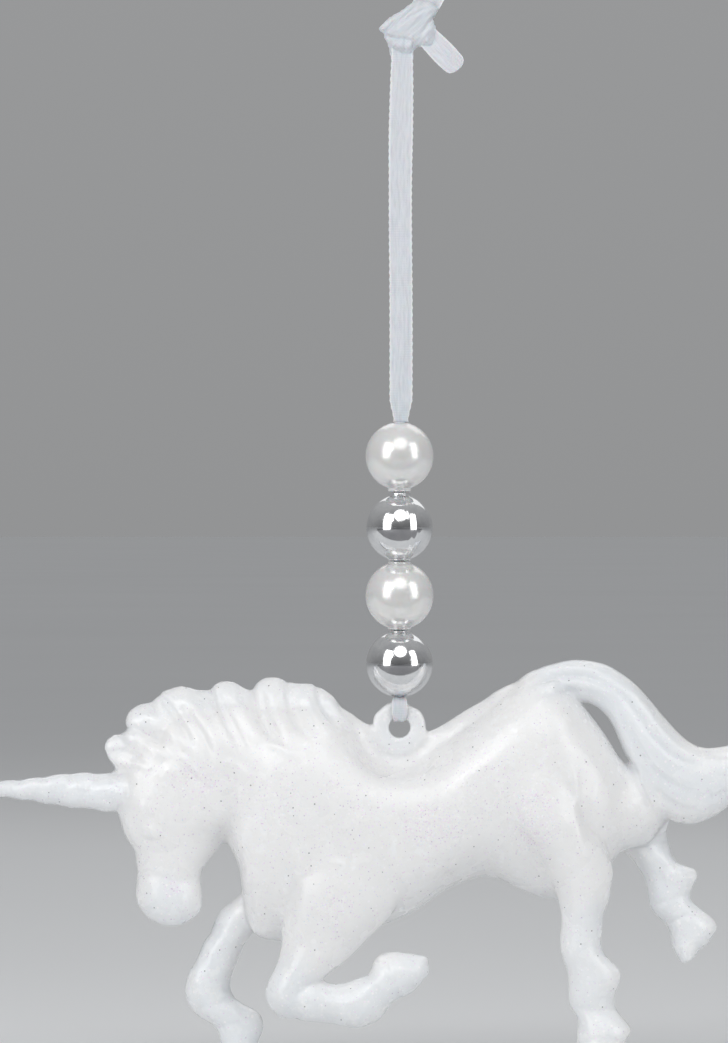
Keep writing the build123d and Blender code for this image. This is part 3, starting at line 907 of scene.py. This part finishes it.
LEGS = [
    (NEAR, 0.1, 0.7, [(318, 932), (308, 946), (299, 960), (290, 975)]),
    (NEAR, 0.16, 0.6, [(316, 996), (330, 1000), (345, 1000), (360, 996), (372, 988)]),
    (NEAR, -0.2, 0.45, [(371, 976), (377, 988), (383, 1001), (389, 1012)]),
    (NEAR, -0.22, 0.35, [(381, 952), (386, 964), (393, 980), (401, 998), (404, 1004)]),
    (NEAR, 0.14, 0.5, [(397, 966), (407, 966), (418, 966.5)]),
    (FAR, 0.2, 0.6, [(218, 918), (210, 936), (203, 954), (197, 974), (197, 992)]),
    (FAR, -0.2, 0.45, [(194, 1012), (208, 1006), (222, 1003), (240, 1002)]),
    (FAR, -0.22, 0.35, [(214, 1030), (226, 1026), (240, 1023), (256, 1016)]),
    (FAR, 0.18, 0.7, [(229, 1006), (237, 1016), (246, 1028)]),
    (NEAR, 0.16, 0.55, [(586, 893), (582, 910), (579, 930), (579, 952)]),
    (NEAR, -0.2, 0.45, [(568, 1004), (582, 1006), (598, 1008), (616, 1008)]),
    (NEAR, -0.22, 0.35, [(576, 1040), (592, 1036), (610, 1036), (630, 1040)]),
    (FAR, 0.2, 0.6, [(663, 876), (674, 874), (686, 874)]),
    (FAR, -0.2, 0.45, [(650, 905), (663, 902), (677, 898), (692, 893)]),
    (FAR, -0.24, 0.35, [(664, 927), (676, 920), (690, 914), (706, 913)]),
]

# Rounded swellings and dents: half, centre and radii in pixels, height in mm
SWELLINGS = [
    (BOTH, (203, 806), (30, 34), 0.35), (BOTH, (173, 770), (17, 12), 0.28),
    (BOTH, (144, 806), (9, 9), 0.14), (BOTH, (136, 774), (8, 6), 0.14),
    (BOTH, (154, 833), (13, 9), 0.16), (BOTH, (168, 898), (32, 22), 0.16),
    (BOTH, (404, 794), (40, 26), 0.18), (NEAR, (342, 880), (34, 46), 0.18),
    (NEAR, (546, 815), (30, 52), 0.22), (NEAR, (612, 790), (24, 44), -0.1),
    (FAR, (201, 985), (14, 20), 0.16), (NEAR, (284, 992), (18, 18), 0.16),
    (NEAR, (583, 1000), (16, 22), 0.14), (FAR, (676, 875), (18, 14), 0.16),
]

# Ovals that fill the corners between masses: centre and radii in pixels, depth and half thickness in mm
FILLETS = [((643, 801), (20, 39), 0.2, 3.6), ((640, 826), (17, 20), 0.4, 2.7),
           ((656, 822), (11, 20), 2.0, 2.2), ((352, 744), (18, 22), 0.0, 1.9)]

# Places where the outline too is smoothed: centre and radii in pixels
OUTLINE_BLENDS = [((514, 683), (30, 20)), ((664, 822), (12, 12)), ((699, 952), (15, 13))]

# Places where the moulding is smooth between its masses: centre and radii in pixels
BLENDS = [((350, 842), (74, 50)), ((352, 748), (30, 34)), ((512, 776), (66, 62)), ((399.5, 768), (86, 46)),
          ((642, 815), (44, 62)), ((255, 905), (40, 30)), ((235, 790), (34, 50))]

# Outline of the side view, drawn out to the photograph's: half, centre and radius in pixels, and shift
GRABS = [
    (BOTH, (108, 747), 15, (-5.5, 0)), (BOTH, (112, 767), 9, (5, 1)),
    (BOTH, (114, 730), 11, (1, 4)), (BOTH, (128, 716), 18, (-3.5, -1)),
    (BOTH, (161, 696), 13, (-2, -1.5)), (BOTH, (131, 847), 16, (2.5, 0)),
    (BOTH, (135, 878), 20, (1.2, 0)), (BOTH, (108, 811), 14, (0, 3.5)),
    (BOTH, (235, 866), 24, (1.8, 0)), (BOTH, (202, 900), 14, (-1, 0)),
    (FAR, (195, 957), 22, (3.5, 1)), (FAR, (209, 930), 16, (1.8, 0.6)),
    (FAR, (213, 1028), 17, (3.2, -1.2)), (FAR, (237, 958), 20, (2.2, 0)),
    (FAR, (258, 1011), 20, (2.2, -2)), (BOTH, (414, 703), 11, (-2.2, 1.6)),
    (BOTH, (375, 716), 9, (-1.5, 0)), (BOTH, (343, 703), 17, (-2.2, 2.2)),
    (NEAR, (376, 954), 12, (-2, -1)), (NEAR, (367, 972), 12, (1.2, 2)),
    (NEAR, (408, 952), 26, (0, 1.8)), (NEAR, (430, 964), 14, (-1.2, 0)),
    (NEAR, (270, 1001), 22, (2.2, -1.2)), (NEAR, (383, 1015), 19, (2.2, 1.8)),
    (BOTH, (508, 681), 19, (1, 3.2)), (FAR, (661, 822), 15, (6, -1)),
    (FAR, (655, 806), 11, (3, -3)), (FAR, (681, 861), 17, (-1.5, 3)),
    (FAR, (695, 873), 11, (2, 0)), (FAR, (645, 884), 28, (2.2, 0)),
    (FAR, (666, 932), 20, (3, 0)), (FAR, (699, 959), 17, (-3, -4)),
    (FAR, (704, 948), 11, (2.2, 2)), (FAR, (714, 925), 12, (2, 0.5)),
    (NEAR, (611, 868), 20, (1.8, 0)), (NEAR, (606, 912), 18, (-2, 0)),
    (NEAR, (631, 1038), 13, (-3.5, 0)), (NEAR, (560, 924), 30, (1.4, 0)),
    (NEAR, (567, 978), 26, (1.4, 0)), (NEAR, (574, 1016), 14, (2.5, -1.5)),
    (BOTH, (552, 899), 15, (0, -2.4)),
]

# Parts that are thin and clear: reach in pixels, how clear, and the line along their middle
CLEAR = [
    (20, 1.0, [(-60, 789), (40, 789), (108, 790)]),
    (26, 1.0, [(222, 926), (208, 950), (204, 985), (232, 1018), (246, 1060)]),
    (26, 0.9, [(288, 976), (286, 996), (340, 1003), (376, 994), (410, 972)]),
    (28, 0.8, [(588, 925), (588, 960), (594, 1010), (604, 1070)]),
    (32, 0.9, [(668, 858), (668, 885), (690, 930), (694, 958)]),
    (30, 1.0, [(556, 670), (598, 678), (636, 722), (668, 772), (720, 784), (770, 770)]),
    (26, 0.9, [(399.5, 725), (399.5, 732)]),
    (26, 0.9, [(168, 898), (168, 915)]),
    (15, 0.6, [(112, 748), (140, 718), (182, 700), (226, 696), (270, 690), (306, 696), (334, 710)]),
]

# Where the glitter lies thickest, in the patches where the light catches it, so partly painted sparkle:
# centre and radii in pixels, and strength
GLITTER_AND_SPARKLE = [((198, 777), (44, 24), 1.0), ((173, 886), (16, 12), 0.9), ((430, 822), (48, 34), 1.0),
           ((532, 815), (36, 50), 1.0), ((335, 905), (26, 36), 0.6), ((262, 790), (60, 60), 0.35),
           ((360, 790), (60, 60), 0.35), ((480, 780), (60, 50), 0.4)]


# Steps in which a vertex group is weighted
WEIGHT_LEVELS = 8


def soften(obj, weights, iterations):
    """Smooth a mesh where the weights say so."""
    group = obj.vertex_groups.new(name="soften")
    levels = np.round(weights * WEIGHT_LEVELS).astype(int)
    for level in range(1, WEIGHT_LEVELS + 1):
        group.add(np.nonzero(levels == level)[0].tolist(), level / WEIGHT_LEVELS, "REPLACE")
    modify(obj, "SMOOTH", factor=0.5, iterations=iterations, vertex_group=group.name)
    obj.vertex_groups.clear()


# How far the blends stay off the middle of the hanging eye, in pixels, and off the parting, in mm
EYE_RIM = (27, 36)
PARTING_RIM = (0.6, 1.6)

# Rise of the whole skin in mm, and how much stronger the relief of mane and tail is
SKIN_RISE = 0.05
HAIR_RELIEF = 1.35

# Horn: axis, where its spiral starts and ends, in pixels, and the spiral's pitch in mm
HORN_AXIS = 789.5
HORN_ROOT = (92, 116)
HORN_TIP = (-46, -20)
HORN_PITCH = 3.8

# Parting line: height and width in mm
PARTING_RISE = 0.035
PARTING_WIDTH = 0.16

# The far hind leg's hock: centre and radii in pixels, and how far it is kept off the parting in mm
HOCK = ((670, 874), (26, 24))
HOCK_SHIFT = 0.3


def on_half(co, half):
    """Which points lie on the half that a table row names."""
    return 1 if half == BOTH else co[:, 1] * half > 0


def blend_weights(view, ovals):
    """1 in the middle of the ovals and 0 outside them."""
    blend = np.zeros(len(view))
    for centre, radii in ovals:
        blend = np.maximum(blend, smoothstep(in_oval(view, centre, radii), 0, 0.45))
    return blend


def sculpt(obj):
    """Draw out the outline, blend the masses, then raise the moulding's relief on them."""
    co = coordinates(obj)
    view = side_view(co)
    for half, centre, radius, shift in GRABS:
        pull = in_oval(view, centre, (radius, radius)) * on_half(co, half)
        co[:, 0] += shift[0] * SQUARE * pull
        co[:, 2] -= shift[1] * SQUARE * pull
    move_to(obj, co)
    view = side_view(co)
    blend = blend_weights(view, BLENDS)
    # The hanging eye and the parting keep their shape
    blend *= smoothstep(np.linalg.norm(view - EYE_PIXEL, axis=1), *EYE_RIM)
    blend *= smoothstep(np.abs(co[:, 1]), *PARTING_RIM)
    soften(obj, blend, 260)
    soften(obj, blend_weights(side_view(coordinates(obj)), OUTLINE_BLENDS), 60)
    co = coordinates(obj)
    view = side_view(co)
    height = SKIN_RISE + HAIR_RELIEF * stroke_height(co, view, MANE + TAIL)
    height = height + stroke_height(co, view, HEAD + BODY + LEGS)
    for half, centre, radii, rise in SWELLINGS:
        height += rise * in_oval(view, centre, radii) * on_half(co, half)
    # Spiral of the horn: bands that wind round its axis
    winding = np.arctan2((view[:, 1] - HORN_AXIS) * SQUARE, -co[:, 1])
    band = np.cos(2 * pi * view[:, 0] * SQUARE / HORN_PITCH + winding)
    on_horn = (1 - smoothstep(view[:, 0], *HORN_ROOT)) * smoothstep(view[:, 0], *HORN_TIP)
    height += on_horn * (0.07 * band - 0.1 * np.clip(-band - 0.55, 0, 1))
    height += PARTING_RISE * np.exp(-((co[:, 1] / PARTING_WIDTH) ** 2))
    raised = co + normals(obj) * height[:, None]
    # The far hind leg's hock stays on its own side of the parting
    raised[:, 1] += HOCK_SHIFT * in_oval(view, *HOCK)
    move_to(obj, raised)
    soften(obj, np.ones(len(co)), 2)


def paint(obj):
    """Where the plastic is clear and thin, and where the glitter is thick, in the patches where the light
    catches it, which is partly painted sparkle.
    """
    co = coordinates(obj)
    view = side_view(co)
    clear = np.zeros(len(co))
    for reach, amount, points in CLEAR:
        gap = from_line(view, through(points, 5))[0]
        clear = np.maximum(clear, amount * (1 - smoothstep(gap, reach * 0.3, reach * 1.7)))
    glitter = np.full(len(co), 0.12)
    for centre, radii, strength in GLITTER_AND_SPARKLE:
        glitter = np.maximum(glitter, strength * smoothstep(in_oval(view, centre, radii), 0, 0.6))
    attribute(obj, "clear", clear)
    attribute(obj, "glitter", glitter)


def split_halves(skin):
    """The near and far half shells of the figure, parted on its mid-plane."""
    halves = (("figure_near_half", "body_near_half", NEAR), ("figure_far_half", "body_far_half", FAR))
    for name, node, sign in halves:
        half = bmesh.new()
        half.from_mesh(skin.data)
        geometry = half.verts[:] + half.edges[:] + half.faces[:]
        bmesh.ops.bisect_plane(half, geom=geometry, plane_co=(0, 0, 0), plane_no=(0, sign, 0),
                               clear_inner=True)
        mesh = bpy.data.meshes.new(name)
        half.to_mesh(mesh)
        half.free()
        mesh.polygons.foreach_set("use_smooth", [True] * len(mesh.polygons))
        finish_piece(to_scene(name, mesh), "unicorn", "opal_plastic", opal, node)
    bpy.data.objects.remove(skin)


figure = outer_skin(FILLETS, "body_near_half", "body_far_half")
sculpt(figure)
paint(figure)
split_halves(figure)


# Floor, backdrop and light

# The floor's level below the hanging eye in mm, and half its side in metres
FLOOR_DROP = 51.5
FLOOR_HALF = 30


def stage_plane(name, corners, level, grain, dark, pale, **values):
    """A flat piece of the studio: two opposite corners and its level in metres, and its matt tones."""
    matt = Nodes(name)
    matt.set(**values)
    matt.drive(Base_Color=matt.ramp(matt.noise(grain), (0, dark), (1, pale)))
    (x0, y0), (x1, y1) = corners
    plane = new_object(name, [(x0, y0, level), (x1, y0, level), (x1, y1, level), (x0, y1, level)],
                       [(0, 1, 2, 3)], scale=1, smooth=False)
    plane.data.materials.append(matt.material)
    return plane


floor_level = (EYE_LEVEL - FLOOR_DROP) * MM
floor = stage_plane("studio_floor", [(-FLOOR_HALF, -FLOOR_HALF), (FLOOR_HALF, FLOOR_HALF)], floor_level, 3,
                    (0.78, 0.79, 0.8), (0.82, 0.83, 0.84), Roughness=0.9)

# A darker card in front of the object that stands in for the unlit studio's shade there: only the silver
# beads mirror it
shade_card = stage_plane("studio_shade_card", [(-1.2, -20), (1.2, -0.075)], floor_level + 0.001, 4,
                   (0.27, 0.27, 0.28), (0.3, 0.3, 0.31), Roughness=0.95, Specular_IOR_Level=0.1)
shade_card.visible_camera = False
shade_card.visible_diffuse = False
shade_card.visible_shadow = False


def studio_world():
    """Soft surround: as bright as the floor behind the object, darker in front of it."""
    world = bpy.data.worlds.new("studio")
    scene.world = world
    world.use_nodes = True
    tree = world.node_tree
    background = tree.nodes["Background"]
    direction = tree.nodes.new("ShaderNodeTexCoord").outputs["Generated"]
    parts = tree.nodes.new("ShaderNodeSeparateXYZ")
    tree.links.new(direction, parts.inputs[0])
    total = tree.nodes.new("ShaderNodeMath")
    for i, (axis, values) in enumerate((("Y", (-1, 1, 0.13, 0.3)), ("Z", (0, 1, 0, 0.24)))):
        share = tree.nodes.new("ShaderNodeMapRange")
        tree.links.new(parts.outputs[axis], share.inputs["Value"])
        for name, value in zip(("From Min", "From Max", "To Min", "To Max"), values):
            share.inputs[name].default_value = value
        tree.links.new(share.outputs[0], total.inputs[i])
    background.inputs["Color"].default_value = (0.975, 0.985, 1.0, 1)
    tree.links.new(total.outputs[0], background.inputs["Strength"])


studio_world()


# Soft lights: width, height and place in metres, power in watts. All face the middle of the object.
LIGHT_AIM = Vector((0, 0, -0.1))
LIGHTS = [
    ("softbox_left", "RECTANGLE", 0.32, 0.62, (-0.42, -0.42, 0.12), 1.31),
    ("softbox_right", "RECTANGLE", 0.24, 0.58, (0.48, -0.36, 0.1), 0.97),
    ("softbox_top", "DISK", 0.6, 0.6, (0.03, -0.57, 0.47), 1.24),
    ("spot_glint", "RECTANGLE", 0.05, 0.09, (-0.26, -0.46, 0.2), 0.22),
    ("softbox_back", "RECTANGLE", 0.9, 0.5, (0.1, 0.6, 0.5), 0.9),
]

for name, shape, width, height, place_at, power in LIGHTS:
    light = bpy.data.lights.new(name, "AREA")
    light.shape = shape
    light.size = width
    light.size_y = height
    light.energy = power
    lamp = to_scene(name, light)
    lamp.location = place_at
    lamp.rotation_mode = "QUATERNION"
    lamp.rotation_quaternion = (LIGHT_AIM - Vector(place_at)).to_track_quat("-Z", "Y")
    lamp.visible_camera = False
